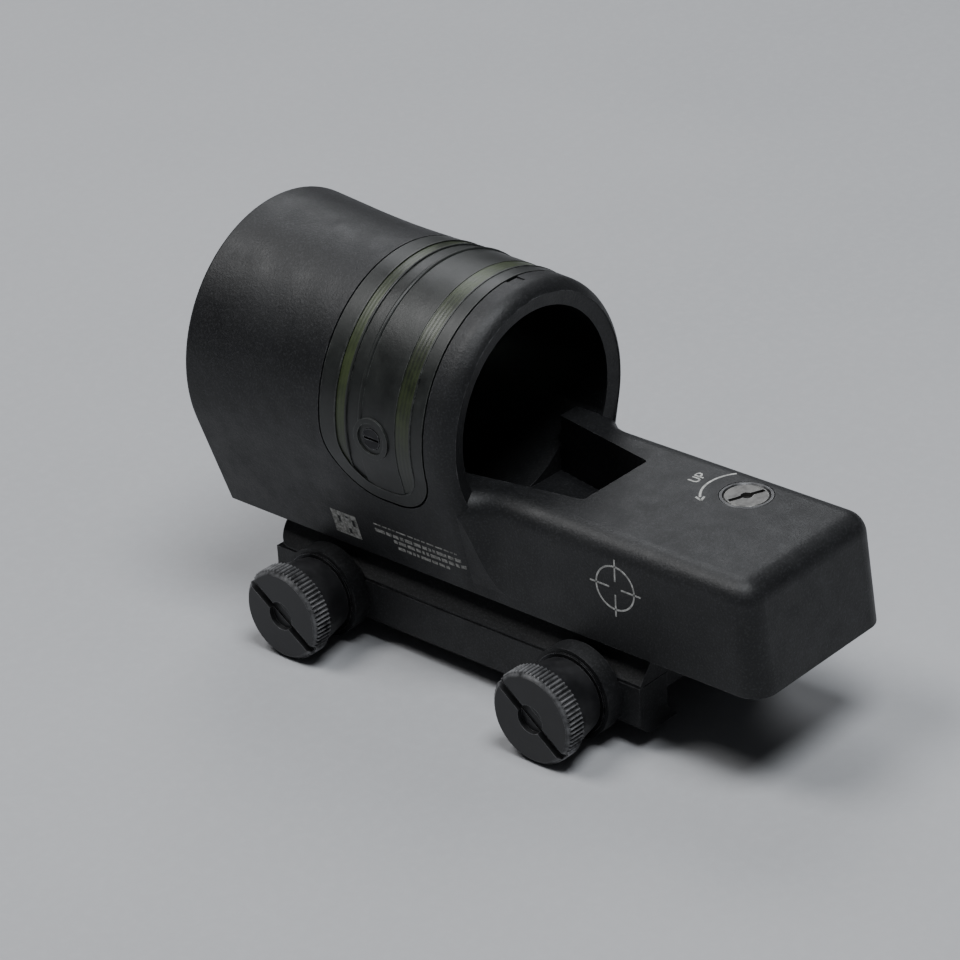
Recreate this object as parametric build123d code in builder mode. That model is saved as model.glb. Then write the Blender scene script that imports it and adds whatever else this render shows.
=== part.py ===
"""Rail-mounted reflex (red dot) sight: tubular housing with a fibre light collector, a pocketed tail that
holds the lamp and its two adjusters, and a clamp base with two thumb screws.

Frame: millimetres, +Y towards the large objective hood, +X to the right of the sight, +Z up.
Origin: centre of the seat face that rests on top of the rail."""

from build123d import *
from math import acos, atan2, cos, hypot, pi, sin, sqrt, tan
import os

os.makedirs("parts", exist_ok=True)

# ---- rail interface ----
rail_half = 10.6            # half of the rail's full width
rail_flank = 3.95           # depth below the seat where the rail starts to undercut at 45 degrees
slot_pitch = 10.008         # spacing of the rail's cross slots
bolt_spacing = 6 * slot_pitch
bolt_height = -0.5          # cross bolts sit in the rail's slots, just under the seat
bolt_radius = 2.4
claw_bottom = -6.7
claw_gap = 0.15             # side clearance beside the rail

# ---- housing ----
underside = 9.5
rear_face = -68.9
length = 125.0
front_face = rear_face + length
half_width = 18.25          # of the tail and of the flat underside
axis_height = underside + 28.8
bore_radius = 19.8
ring_face = -7.0            # rear face of the tube
ring_round = 4.2
body_stations = [           # how the tube's outer radius grows from the rear ring to the hood
    (ring_face, 24.4),
    (-2.9, 24.62),
    (5.1, 24.9),
    (15.1, 25.12),
    (25.1, 25.15),
    (35.1, 25.32),
    (44.1, 25.85),
    (50.1, 26.35),
    (front_face, 26.85),
]
mouth_radius = 24.3
mouth_depth = 8.6
lip_radius = 22.5           # the inner cone at the rear starts here
index_length = 2.0
index_depth = 0.3

# ---- tail ----
tail_top = underside + 20.7
tail_lean = 2.6             # the rear face leans forward by this much at the top
tail_end = 0.6              # the tail's ledges reach this far into the tube
corner_round = 4.6
top_round = 4.3
flare_start = -13.0         # the tail's sides swell outwards here to run into the ring
flare_end = -2.0
flare_half = 22.4
flank_inset = 0.5           # the swelling stays this far inside the ring's flanks
pocket_back = -23.5
pocket_half = 8.9
pocket_flare = 0.19         # growth of the pocket's half width per millimetre forward
pocket_floor = underside + 9.3

# ---- fibre collector ----
band_rear = -0.8
band_front = 24.1
band_bottom = underside + 15.1
band_gap = 0.4              # visible joint around the cover
cover_thickness = 1.5
strand = 0.8
coil_radius = 22.75
coil_strands = 8
coil_low = axis_height - 7.0
lead_radius = 0.9

# ---- optics ----
lens_radius = 21.0
lens_y = 37.0
element_thickness = 2.5
window_height = underside + 13.4
window_radius = 3.0
lens_drop = axis_height - window_height
lens_tilt = atan2(lens_drop, lens_y - pocket_back) / 2
mirror_radius = 2 * hypot(lens_drop, lens_y - pocket_back)
lens_sag = mirror_radius - sqrt(mirror_radius**2 - lens_radius**2)

# ---- adjusters ----
elevation_x = 9.2
elevation_y = -45.4
windage_y = -35.9
windage_z = underside + 12.0
bushing_radius = 5.0
bushing_bore = 4.15
adjuster_head = 4.1
bushing_depth = 2.2

# ---- tail cavity ----
cavity_half = 13.2
cavity_rear = -59.4
cavity_front = -27.9
cavity_top = underside + 17.6
cover_plate = 2.0
gasket = 0.4

# ---- clamp ----
base_rear = -42.7
base_front = 44.7
base_half = 18.0
shoulder_low = 3.1
shoulder_high = 7.0
neck_half = 15.2
bar_face = -18.3
boss_radius = 8.7
boss_face = -22.0
knob_back = -29.0
knob_face = -32.9
knob_radius = 9.0
knurl_teeth = 64
knurl_depth = 0.45
fit = 0.05


def station(y):
    """Plane square to the tube's axis: local x is +X, local y is +Z; it faces rearwards."""
    return Plane.XZ.offset(-y)


def side(x):
    """Plane seen from the right: local x is +Y, local y is +Z; it faces +X."""
    return Plane.YZ.offset(x)


def level(z):
    return Plane.XY.offset(z)


def body_section(y, radius, inset=0.0):
    """Round tube whose flanks run straight down, tangent to it, to the underside's corners."""
    rise = axis_height - underside
    angle = atan2(half_width, rise) + acos(radius / hypot(half_width, rise))
    inner = radius - inset
    tangent_x = inner * sin(angle)
    tangent_z = axis_height - inner * cos(angle)
    corner = tangent_x - (tangent_z - underside) / tan(angle)
    with BuildSketch(station(y)) as section:
        with BuildLine():
            ThreePointArc((tangent_x, tangent_z), (0, axis_height + inner), (-tangent_x, tangent_z))
            Line((-tangent_x, tangent_z), (-corner, underside))
            Line((-corner, underside), (corner, underside))
            Line((corner, underside), (tangent_x, tangent_z))
        make_face()
    return section.sketch


def body_form(inset):
    sections = [body_section(y, radius, inset) for y, radius in body_stations]
    with BuildPart() as form:
        loft(sections=sections)
    return form.part


def band_outline(rear_gap, low_gap, front_gap, rear_round, front_round):
    """Upright outline with two rounded lower corners, seen from the side and drawn out across the sight."""
    low = band_bottom + low_gap
    high = axis_height + 40
    rear = band_rear + rear_gap
    front = band_front - front_gap
    with BuildPart() as prism:
        with BuildSketch(side(0)) as outline:
            with BuildLine():
                Polyline((rear, high), (rear, low), (front, low), (front, high), close=True)
            make_face()
            fillet(outline.vertices().group_by(Axis.X)[0].sort_by(Axis.Y)[0], rear_round)
            fillet(outline.vertices().group_by(Axis.X)[-1].sort_by(Axis.Y)[0], front_round)
        extrude(amount=40, both=True)
    return prism.part


def band_prism(gap):
    """The collector band's own outline, or one that lies inside it by a gap."""
    return band_outline(gap, gap, gap, 9.0 - gap, 12.4 - gap)


def collar(inner, outer, back, front):
    """Plain ring about the tube's axis between two stations."""
    with BuildPart() as ring:
        with BuildSketch(station(front)):
            with Locations((0, axis_height)):
                Circle(outer)
                if inner > 0:
                    Circle(inner, mode=Mode.SUBTRACT)
        extrude(amount=front - back)
    return ring.part


tube_axis = Axis((0, 0, axis_height), (0, 1, 0))

# The objective looks down at the lamp window, so its axis points forward and up.
lens_origin = (0, lens_y, axis_height)
lens_axis = Axis(lens_origin, (0, cos(lens_tilt), sin(lens_tilt)))
lens_section = Plane(lens_origin, x_dir=(1, 0, 0), z_dir=(0, -sin(lens_tilt), cos(lens_tilt)))
gasket_ring = 0.6
cement = 0.02
seat_depth = -lens_sag - gasket_ring
lens_front = 2 * element_thickness + cement
clear_radius = 19.9
ring_back = lens_front - mirror_radius + sqrt(mirror_radius**2 - clear_radius**2) + 0.04
ring_radius = 22.35
ring_thickness = 3.0


def lens_element(back, front):
    """Meniscus between two spherical faces whose vertices lie back and front of the lens origin."""
    middle = lens_radius / 2
    dip = mirror_radius - sqrt(mirror_radius**2 - middle**2)
    with BuildPart() as element:
        with BuildSketch(lens_section):
            with BuildLine():
                ThreePointArc((0, back), (middle, back - dip), (lens_radius, back - lens_sag))
                Line((lens_radius, back - lens_sag), (lens_radius, front - lens_sag))
                ThreePointArc((lens_radius, front - lens_sag), (middle, front - dip), (0, front))
                Line((0, front), (0, back))
            make_face()
        revolve(axis=lens_axis)
    return element.part


def tilted_ring(inner, outer, back, front):
    """Ring about the objective's axis, between two stations along it."""
    with BuildPart() as ring:
        with BuildSketch(lens_section):
            with Locations(((inner + outer) / 2, (back + front) / 2)):
                Rectangle(outer - inner, front - back)
        revolve(axis=lens_axis)
    return ring.part


# ---- fibre: two wound spans over the tube and a lead down to the lamp ----
coil_half = coil_strands * strand / 2
coil_middles = (band_rear + 2.6 + coil_half, band_front - 3.4 - coil_half)
lead_x = -15.6
lead_y = 4.6
lead_turn = -35.2
lead_end = -5.0
lead_z = window_height
lead_start = (0.2 - sqrt(coil_radius**2 - (axis_height - coil_low) ** 2), lead_y, coil_low - 0.3)
with BuildLine() as lead_route:
    FilletPolyline(
        lead_start,
        (lead_x, lead_y, lead_z),
        (lead_x, lead_turn, lead_z),
        (lead_end, lead_turn, lead_z),
        radius=2.4,
    )
lead_plane = Plane(lead_start, z_dir=(lead_x - lead_start[0], 0, lead_z - lead_start[2]))


def along_lead(radius):
    with BuildPart() as tube:
        with BuildSketch(lead_plane):
            Circle(radius)
        sweep(path=lead_route.wires()[0])
    return tube.part


def coil_channel(middle):
    with BuildPart() as channel:
        with BuildSketch(side(0)):
            with Locations((middle, axis_height + coil_radius + 0.25)):
                Rectangle(2 * coil_half + 0.3, 1.7)
        revolve(axis=tube_axis)
        split(bisect_by=level(coil_low - 0.2), keep=Keep.TOP)
    return channel.part


# ---- collector band: the pocket in the tube's outside and the cover that fills it ----
outer_form = body_form(0)
seat_form = body_form(cover_thickness + fit)
cover_inner_form = body_form(cover_thickness)
band_outer = band_prism(0)
boss_y = band_rear + 12.1

with BuildPart() as band_pocket:
    add(band_outer)
    add(seat_form, mode=Mode.SUBTRACT)

# ---- tail ----
flank_slope = 1 / tan(
    atan2(half_width, axis_height - underside)
    + acos(body_stations[0][1] / hypot(half_width, axis_height - underside))
)
with BuildPart() as tail:
    with BuildSketch(side(0)):
        with BuildLine():
            Polyline(
                (rear_face, underside),
                (rear_face + tail_lean, tail_top),
                (tail_end, tail_top),
                (tail_end, underside),
                close=True,
            )
        make_face()
    extrude(amount=half_width, both=True)
    fillet(tail.edges().filter_by(Axis.X, reverse=True).group_by(Axis.Y)[0], corner_round)
    # hollow-curved swelling of each side where it meets the ring
    with BuildSketch(level(underside)):
        for hand in (-1, 1):
            flare_middle = (hand * (half_width + flare_half) / 2, (flare_start + flare_end) / 2)
            with BuildLine():
                Polyline(
                    (hand * flare_half, flare_end),
                    (hand * flare_half, tail_end),
                    (hand * (half_width - 1), tail_end),
                    (hand * (half_width - 1), flare_start),
                    (hand * half_width, flare_start),
                )
                TangentArc((hand * half_width, flare_start), flare_middle, tangent=(0, 1))
                TangentArc((hand * flare_half, flare_end), flare_middle, tangent=(0, -1))
            make_face()
    extrude(amount=tail_top - underside)
    fillet(tail.faces().sort_by(Axis.Z)[-1].edges().sort_by(Axis.Y)[:-1], top_round)
    # the swelling keeps inside the ring's leaning flanks
    with BuildSketch(station(tail_end + 1)):
        for hand in (-1, 1):
            with BuildLine():
                Polyline(
                    (hand * half_width, underside - 1),
                    (hand * half_width, underside + flank_inset / flank_slope),
                    (hand * (half_width - flank_inset + flank_slope * 25), underside + 25),
                    (hand * 30, underside + 25),
                    (hand * 30, underside - 1),
                    close=True,
                )
            make_face()
    extrude(amount=tail_end + 1 - flare_start, mode=Mode.SUBTRACT)

pocket_front = tail_end + 0.5
pocket_wide = pocket_half + pocket_flare * (pocket_front - pocket_back)
with BuildPart() as pocket:
    with BuildSketch(level(pocket_floor)):
        with BuildLine():
            Polyline(
                (-pocket_half, pocket_back),
                (pocket_half, pocket_back),
                (pocket_wide, pocket_front),
                (-pocket_wide, pocket_front),
                close=True,
            )
        make_face()
    extrude(amount=14)
    fillet(pocket.edges().filter_by(Axis.Z).group_by(Axis.Y)[0], 0.8)

post_places = [(x, y) for x in (-11.3, 11.3) for y in (-56.9, -30.4)]
cover_half = 15.0
cover_rear = cavity_rear - 1.8
cover_front = cavity_front + 1.6
ledge = underside + cover_plate + gasket

with BuildPart() as cavity:
    with BuildSketch(level(underside)):
        with Locations((0, (cavity_rear + cavity_front) / 2)):
            RectangleRounded(2 * cavity_half, cavity_front - cavity_rear, 2)
    extrude(amount=cavity_top - underside)
    with BuildSketch(level(ledge)):
        with Locations(*post_places):
            Circle(2.5)
    extrude(amount=cavity_top - ledge, mode=Mode.SUBTRACT)
    with BuildSketch(level(underside)):
        with Locations((0, (cover_rear + cover_front) / 2)):
            RectangleRounded(2 * cover_half + 0.2, cover_front - cover_rear + 0.2, 1.6)
    extrude(amount=cover_plate + gasket)

base_screw_places = [(0, -15.0), (0, 15.0)]
dowel_places = [(0, -24.3), (0, 24.3)]
guide_places = [(-9.0, -50.4), (-9.0, -42.0)]
elevation_seat = Plane((elevation_x, elevation_y, tail_top), x_dir=(1, 0, 0), z_dir=(0, 0, 1))
windage_seat = Plane((half_width, windage_y, windage_z), x_dir=(0, 1, 0), z_dir=(1, 0, 0))
elevation_shaft = 1.5
windage_shaft = 1.25

# ---- housing ----
with BuildPart() as housing:
    add(outer_form)
    fillet(housing.faces().sort_by(Axis.Y)[0].edges().sort_by(Axis.Z)[1:], ring_round)
    fillet(housing.faces().sort_by(Axis.Y)[-1].edges().sort_by(Axis.Z)[1:], 0.5)
    add(collar(0, bore_radius, ring_face - 1, lens_y + 2), mode=Mode.SUBTRACT)
    # shallow cone inside the rounded rear rim
    with BuildSketch(side(0)):
        with BuildLine():
            Polyline(
                (ring_face + 1.6, axis_height + bore_radius - 1),
                (ring_face + 0.7, axis_height + lip_radius),
                (ring_face - 1, axis_height + lip_radius),
                (ring_face - 1, axis_height + bore_radius - 1),
                close=True,
            )
        make_face()
    revolve(axis=tube_axis, mode=Mode.SUBTRACT)
    # shallow index notch on top, just behind the collector band
    with BuildSketch(level(axis_height + body_stations[1][1] - index_depth)):
        with Locations((0.4, band_rear - index_length / 2)):
            Rectangle(3.0, index_length)
    extrude(amount=2, mode=Mode.SUBTRACT)
    # lens seat, retaining-ring recess and hood mouth
    add(tilted_ring(0, lens_radius + 0.1, seat_depth, 14), mode=Mode.SUBTRACT)
    add(tilted_ring(0, ring_radius + 0.02, ring_back - 0.2, 14), mode=Mode.SUBTRACT)
    add(collar(0, mouth_radius, front_face - mouth_depth, front_face + 1), mode=Mode.SUBTRACT)
    # tail with its open pocket and the closed cavity behind it
    add(tail.part)
    add(pocket.part, mode=Mode.SUBTRACT)
    add(cavity.part, mode=Mode.SUBTRACT)
    # collector band
    add(band_pocket.part, mode=Mode.SUBTRACT)
    for middle in coil_middles:
        add(coil_channel(middle), mode=Mode.SUBTRACT)
    add(along_lead(lead_radius + 0.12), mode=Mode.SUBTRACT)
    for hand in (-1, 1):
        with BuildSketch(side(hand * 20.6)):
            with Locations((boss_y, axis_height)):
                Circle(0.82)
        extrude(amount=hand * 5, mode=Mode.SUBTRACT)
    # lamp window in the pocket's rear wall
    with BuildSketch(station(pocket_back)):
        with Locations((0, window_height)):
            Circle(window_radius + fit)
    extrude(amount=2.05, mode=Mode.SUBTRACT)
    with BuildSketch(station(pocket_back)):
        with Locations((0, window_height)):
            Circle(window_radius - 0.8)
    extrude(amount=6, mode=Mode.SUBTRACT)
    # seats and shaft holes of the two adjusters
    for seat, shaft, depth in (
        (elevation_seat, elevation_shaft, 6),
        (windage_seat, windage_shaft, 8),
    ):
        with BuildSketch(seat):
            Circle(bushing_radius)
        extrude(amount=-bushing_depth, mode=Mode.SUBTRACT)
        with BuildSketch(seat):
            Circle(shaft + 0.1)
        extrude(amount=-depth, mode=Mode.SUBTRACT)
    # holes in the underside and guide-pin holes in the cavity's roof
    for height, places, radius, depth in (
        (underside, base_screw_places, 2.02, 6.4),
        (underside, dowel_places, 1.52, 4.2),
        (ledge, post_places, 1.02, 6.0),
        (cavity_top, guide_places, 1.02, 1.6),
    ):
        with BuildSketch(level(height)):
            with Locations(*places):
                Circle(radius)
        extrude(amount=depth, mode=Mode.SUBTRACT)
housing.part.label = "housing"
export_step(housing.part, "parts/housing.step")

# ---- fibre collector ----
# The strips and the fine rim around them follow one U-shaped outline inside the cover's edge.
window_spans = ((band_rear + 3.3, band_rear + 6.6), (band_front - 6.4, band_front - 4.3))
rim_width = 0.3
rim_height = 0.15
rib_y = boss_y + 2.65
rib_height = 0.35
rib_round = 0.5
edge_round = 0.25
boss_outer = 4.0
boss_inner = 3.0
recess_depth = 0.2
screw_seat = 24.4


def rim_outline(gap):
    return band_outline(3.3 + gap, 2.9 + gap, 4.3 + gap, 6.0 - gap, 9.0 - gap)


def side_slab(back, front, low):
    """Slab across the sight between two stations, above a level."""
    with BuildPart() as slab:
        with BuildSketch(side(0)):
            with Locations(((back + front) / 2, (low + axis_height + 40) / 2)):
                Rectangle(front - back, axis_height + 40 - low)
        extrude(amount=40, both=True)
    return slab.part


def window_shapes(gap):
    with BuildPart() as shapes:
        for back, front in window_spans:
            add(side_slab(back + gap, front - gap, band_bottom))
        add(rim_outline(gap), mode=Mode.INTERSECT)
    return shapes.part


def tube_radius(y):
    """The tube's outer radius at a station."""
    for (back, small), (front, large) in zip(body_stations, body_stations[1:]):
        if back <= y <= front:
            return small + (large - small) * (y - back) / (front - back)


def bead(y, height, roundness, low):
    """Rounded rib over the tube at a station, above a level."""
    with BuildPart() as rib:
        with BuildSketch(side(0)):
            with Locations((y, axis_height + tube_radius(y) + height - roundness)):
                Circle(roundness)
        revolve(axis=tube_axis)
        split(bisect_by=level(low), keep=Keep.TOP)
    return rib.part


rim_form = body_form(-rim_height)
rib_form = body_form(-rib_height)
recess_form = body_form(recess_depth)

with BuildPart() as fine_rims:
    add(rim_outline(-rim_width))
    add(rim_outline(0), mode=Mode.SUBTRACT)
    add(rim_form, mode=Mode.INTERSECT)
    add(cover_inner_form, mode=Mode.SUBTRACT)

with BuildPart() as boss:
    with BuildSketch(side(0)):
        with Locations((boss_y, axis_height)):
            Circle(boss_outer)
            Circle(boss_inner, mode=Mode.SUBTRACT)
    extrude(amount=40, both=True)
    add(rib_form, mode=Mode.INTERSECT)
    add(cover_inner_form, mode=Mode.SUBTRACT)

with BuildPart() as recess:
    add(side_slab(rib_y + rib_round, window_spans[1][0] - rim_width, band_bottom))
    add(rim_outline(0), mode=Mode.INTERSECT)
    add(recess_form, mode=Mode.SUBTRACT)

with BuildPart() as fibre_cover:
    add(outer_form)
    add(cover_inner_form, mode=Mode.SUBTRACT)
    add(band_prism(band_gap), mode=Mode.INTERSECT)
    add(recess.part, mode=Mode.SUBTRACT)
    add(fine_rims.part)
    add(boss.part)
    add(window_shapes(0), mode=Mode.SUBTRACT)
    add(bead(rib_y, rib_height, rib_round, axis_height + 2.9))
    # the fine bead stops just short of the front strip's edge
    add(bead(window_spans[1][0] - rim_width, rim_height, edge_round, axis_height - 5))
    for hand in (-1, 1):
        with BuildSketch(side(hand * 20)):
            with Locations((boss_y, axis_height)):
                Circle(1.0)
        extrude(amount=hand * 8, mode=Mode.SUBTRACT)
        with BuildSketch(side(hand * screw_seat)):
            with Locations((boss_y, axis_height)):
                Circle(2.1)
        extrude(amount=hand * 3, mode=Mode.SUBTRACT)
fibre_cover.part.label = "fibre_cover"
export_step(fibre_cover.part, "parts/fibre_cover.step")

window_outer_form = body_form(0.1)
window_inner_form = body_form(1.2)
with BuildPart() as fibre_windows:
    add(window_shapes(0.02))
    add(window_outer_form, mode=Mode.INTERSECT)
    add(window_inner_form, mode=Mode.SUBTRACT)
fibre_windows.part.label = "fibre_windows"
export_step(fibre_windows.part, "parts/fibre_windows.step")

with BuildPart() as fibre_coil:
    with BuildSketch(side(0)):
        for middle in coil_middles:
            with Locations((middle, axis_height + coil_radius)):
                with GridLocations(strand, 1, coil_strands, 1):
                    Circle(strand / 2 + 0.02)
    revolve(axis=tube_axis)
    split(bisect_by=level(coil_low), keep=Keep.TOP)
fibre_coil.part.label = "fibre_coil"
export_step(fibre_coil.part, "parts/fibre_coil.step")

fibre_lead = along_lead(lead_radius)
fibre_lead.label = "fibre_lead"
export_step(fibre_lead, "parts/fibre_lead.step")

with BuildPart() as fibre_ferrule:
    with BuildSketch(side(-cavity_half)):
        with Locations((lead_turn, lead_z)):
            Circle(2.0)
            Circle(lead_radius + 0.03, mode=Mode.SUBTRACT)
    extrude(amount=0.8)
    with BuildSketch(side(-cavity_half)):
        with Locations((lead_turn, lead_z)):
            Circle(1.4)
            Circle(lead_radius + 0.03, mode=Mode.SUBTRACT)
    extrude(amount=lead_end + cavity_half)
fibre_ferrule.part.label = "fibre_ferrule"
export_step(fibre_ferrule.part, "parts/fibre_ferrule.step")

with BuildPart() as cover_screws:
    for hand in (-1, 1):
        with BuildSketch(side(hand * screw_seat)):
            with Locations((boss_y, axis_height)):
                Circle(2.0)
        extrude(amount=hand * 0.7)
        with BuildSketch(side(hand * (screw_seat + 0.7))):
            with Locations((boss_y, axis_height)):
                Rectangle(3.4, 0.5)
        extrude(amount=-hand * 0.4, mode=Mode.SUBTRACT)
        with BuildSketch(side(hand * 20.8)):
            with Locations((boss_y, axis_height)):
                Circle(0.8)
        extrude(amount=hand * (screw_seat + 0.1 - 20.8))
cover_screws.part.label = "cover_screws"
export_step(cover_screws.part, "parts/cover_screws.step")

# ---- objective ----
lens_rear_element = lens_element(0, element_thickness)
lens_rear_element.label = "lens_rear_element"
export_step(lens_rear_element, "parts/lens_rear_element.step")

lens_front_element = lens_element(element_thickness + cement, lens_front)
lens_front_element.label = "lens_front_element"
export_step(lens_front_element, "parts/lens_front_element.step")

lens_gasket = tilted_ring(clear_radius, lens_radius, seat_depth, -lens_sag)
lens_gasket.label = "lens_gasket"
export_step(lens_gasket, "parts/lens_gasket.step")

with BuildPart() as lens_retaining_ring:
    add(tilted_ring(clear_radius, ring_radius, ring_back, ring_back + ring_thickness))
    with BuildSketch(lens_section):
        with Locations((0, ring_back + ring_thickness)):
            Rectangle(60, 2.4)
    extrude(amount=0.8, both=True, mode=Mode.SUBTRACT)
lens_retaining_ring.part.label = "lens_retaining_ring"
export_step(lens_retaining_ring.part, "parts/lens_retaining_ring.step")

# ---- lamp window ----
with BuildPart() as window_glass:
    with BuildSketch(station(pocket_back - 0.3)):
        with Locations((0, window_height)):
            Circle(window_radius)
    extrude(amount=1.2)
    chamfer(window_glass.edges().filter_by(GeomType.CIRCLE), 0.15)
window_glass.part.label = "window_glass"
export_step(window_glass.part, "parts/window_glass.step")

with BuildPart() as window_seal:
    with BuildSketch(station(pocket_back - 1.5)):
        with Locations((0, window_height)):
            Circle(window_radius)
            Circle(window_radius - 0.8, mode=Mode.SUBTRACT)
    extrude(amount=0.55)
window_seal.part.label = "window_seal"
export_step(window_seal.part, "parts/window_seal.step")

# ---- adjusters ----
head_top = -0.1
head_bottom = -bushing_depth + 0.05
groove_top = -1.15
groove_height = 0.8
groove_radius = 3.3
seal_wire = 0.39
clip_thickness = 0.6
clip_groove = 0.35


def adjuster_bushing(seat):
    with BuildPart() as bushing:
        with BuildSketch(seat):
            Circle(bushing_radius - 0.01)
            Circle(bushing_bore, mode=Mode.SUBTRACT)
        extrude(amount=-bushing_depth)
        chamfer(bushing.faces().sort_by(Axis(seat.origin, seat.z_dir))[-1].edges(), 0.2)
    return bushing.part


def adjuster_screw(seat, shaft, shaft_end, clip_depth, slot_angle):
    """Slotted head with a seal groove on a thin shaft; the slot's angle is from local x."""
    with BuildPart() as screw:
        with BuildSketch(seat.offset(head_top)):
            Circle(adjuster_head)
        extrude(amount=head_bottom - head_top)
        chamfer(screw.faces().sort_by(Axis(seat.origin, seat.z_dir))[-1].edges(), 0.2)
        with BuildSketch(seat.offset(groove_top)):
            Circle(adjuster_head + 0.1)
            Circle(groove_radius, mode=Mode.SUBTRACT)
        extrude(amount=-groove_height, mode=Mode.SUBTRACT)
        with BuildSketch(seat.offset(head_top)):
            Rectangle(7.3, 0.9, rotation=slot_angle)
            Circle(1.1)
        extrude(amount=-0.85, mode=Mode.SUBTRACT)
        with BuildSketch(seat.offset(head_bottom)):
            Circle(shaft)
        extrude(amount=shaft_end - head_bottom)
        with BuildSketch(seat.offset(-clip_depth + 0.05)):
            Circle(shaft + 0.1)
            Circle(shaft - clip_groove, mode=Mode.SUBTRACT)
        extrude(amount=-clip_thickness - 0.1, mode=Mode.SUBTRACT)
    return screw.part


def adjuster_seal(seat):
    ring_plane = Plane(seat.origin, x_dir=seat.x_dir, z_dir=seat.z_dir).offset(groove_top - groove_height / 2)
    across = Plane(ring_plane.origin, x_dir=seat.x_dir, z_dir=-seat.y_dir)
    with BuildPart() as ring:
        with BuildSketch(across):
            with Locations(((groove_radius + bushing_bore) / 2, 0)):
                Circle(seal_wire)
        revolve(axis=Axis(seat.origin, seat.z_dir))
    return ring.part


def adjuster_clip(seat, shaft, clip_depth, outer):
    with BuildPart() as clip:
        with BuildSketch(seat.offset(-clip_depth)):
            Circle(outer)
            Circle(shaft - clip_groove + fit, mode=Mode.SUBTRACT)
            with Locations((0, -outer)):
                Rectangle(1.4, 2 * outer, mode=Mode.SUBTRACT)
        extrude(amount=-clip_thickness)
    return clip.part


elevation_clip_depth = tail_top - cavity_top + 0.1
windage_clip_depth = half_width - cavity_half + 0.1
elevation_bushing = adjuster_bushing(elevation_seat)
elevation_bushing.label = "elevation_bushing"
export_step(elevation_bushing, "parts/elevation_bushing.step")
windage_bushing = adjuster_bushing(windage_seat)
windage_bushing.label = "windage_bushing"
export_step(windage_bushing, "parts/windage_bushing.step")
elevation_screw = adjuster_screw(elevation_seat, elevation_shaft, -13.2, elevation_clip_depth, -22)
elevation_screw.label = "elevation_screw"
export_step(elevation_screw, "parts/elevation_screw.step")
windage_screw = adjuster_screw(windage_seat, windage_shaft, -13.3, windage_clip_depth, 30)
windage_screw.label = "windage_screw"
export_step(windage_screw, "parts/windage_screw.step")
elevation_seal = adjuster_seal(elevation_seat)
elevation_seal.label = "elevation_seal"
export_step(elevation_seal, "parts/elevation_seal.step")
windage_seal = adjuster_seal(windage_seat)
windage_seal.label = "windage_seal"
export_step(windage_seal, "parts/windage_seal.step")
elevation_clip = adjuster_clip(elevation_seat, elevation_shaft, elevation_clip_depth, 2.8)
elevation_clip.label = "elevation_clip"
export_step(elevation_clip, "parts/elevation_clip.step")
windage_clip = adjuster_clip(windage_seat, windage_shaft, windage_clip_depth, 2.5)
windage_clip.label = "windage_clip"
export_step(windage_clip, "parts/windage_clip.step")

# ---- elevation slide: a plate lifted by the elevation screw on two guide pins ----
plate_bottom = underside + 5.4
plate_top = plate_bottom + 2.0
plate_rear = -54.0
plate_front = -33.3
column_top = 25.6
rail_y = -36.4
rail_top = plate_top + 1.4


def dovetail(grow):
    """Cross rail on the plate, wider at its top, along X."""
    with BuildSketch(side(0)) as section:
        with BuildLine():
            Polyline(
                (rail_y - 1.0 - grow, plate_top - 0.1),
                (rail_y - 1.6 - grow, rail_top + grow),
                (rail_y + 1.6 + grow, rail_top + grow),
                (rail_y + 1.0 + grow, plate_top - 0.1),
                close=True,
            )
        make_face()
    with BuildPart() as rail:
        extrude(to_extrude=section.sketch, amount=12.4, both=True)
    return rail.part


with BuildPart() as elevation_slide:
    with BuildSketch(level(plate_bottom)):
        with Locations((0.3, (plate_rear + plate_front) / 2)):
            RectangleRounded(24.8, plate_front - plate_rear, 1.5)
    extrude(amount=plate_top - plate_bottom)
    with BuildSketch(level(plate_bottom)):
        with Locations((elevation_x, elevation_y)):
            Circle(3.2)
    extrude(amount=column_top - plate_bottom)
    with BuildSketch(level(plate_bottom)):
        with Locations(*guide_places):
            Circle(2.2)
    extrude(amount=5.0)
    add(dovetail(0))
    with BuildSketch(level(plate_bottom)):
        with Locations(*guide_places):
            Circle(1.0 + fit)
        with Locations((elevation_x, elevation_y)):
            Circle(elevation_shaft + fit)
    extrude(amount=12, mode=Mode.SUBTRACT)
elevation_slide.part.label = "elevation_slide"
export_step(elevation_slide.part, "parts/elevation_slide.step")

with BuildPart() as guide_pins:
    with BuildSketch(level(underside + cover_plate + 0.3)):
        with Locations(*guide_places):
            Circle(1.0)
    extrude(amount=cavity_top + 1.5 - underside - cover_plate - 0.3)
guide_pins.part.label = "guide_pins"
export_step(guide_pins.part, "parts/guide_pins.step")

spring_wire = 0.3
spring_radius = 1.6
spring_low = underside + cover_plate
spring_height = plate_bottom - spring_low
spring_turns = 3.5
spring_coils = []
for guide_x, guide_y in guide_places:
    foot = (guide_x, guide_y, spring_low + spring_wire)
    rise = spring_height - 2 * spring_wire
    coil = Helix(rise / spring_turns, rise, spring_radius, center=foot)
    with BuildPart() as spring_coil:
        with BuildSketch(Plane(coil @ 0, z_dir=coil % 0)):
            Circle(spring_wire - 0.02)
        sweep(path=coil, is_frenet=True)
    spring_coils.append(spring_coil.part)
with BuildPart() as elevation_springs:
    add(spring_coils)
elevation_springs.part.label = "elevation_springs"
export_step(elevation_springs.part, "parts/elevation_springs.step")

# ---- windage slide: rides across the plate and carries the lamp ----
slide_rear = -39.4
slide_front = -33.4
slide_floor = plate_top + 0.05
slide_top = plate_top + 2.05
nut_back = 7.4
nut_front = 9.4
cheek_gap = 0.05
cheek_right = nut_front + cheek_gap + 1.95
cheek_left = nut_back - cheek_gap - 1.95
lamp_block = 3.5
sleeve_radius = 2.7
nut_half = 2.1

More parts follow.
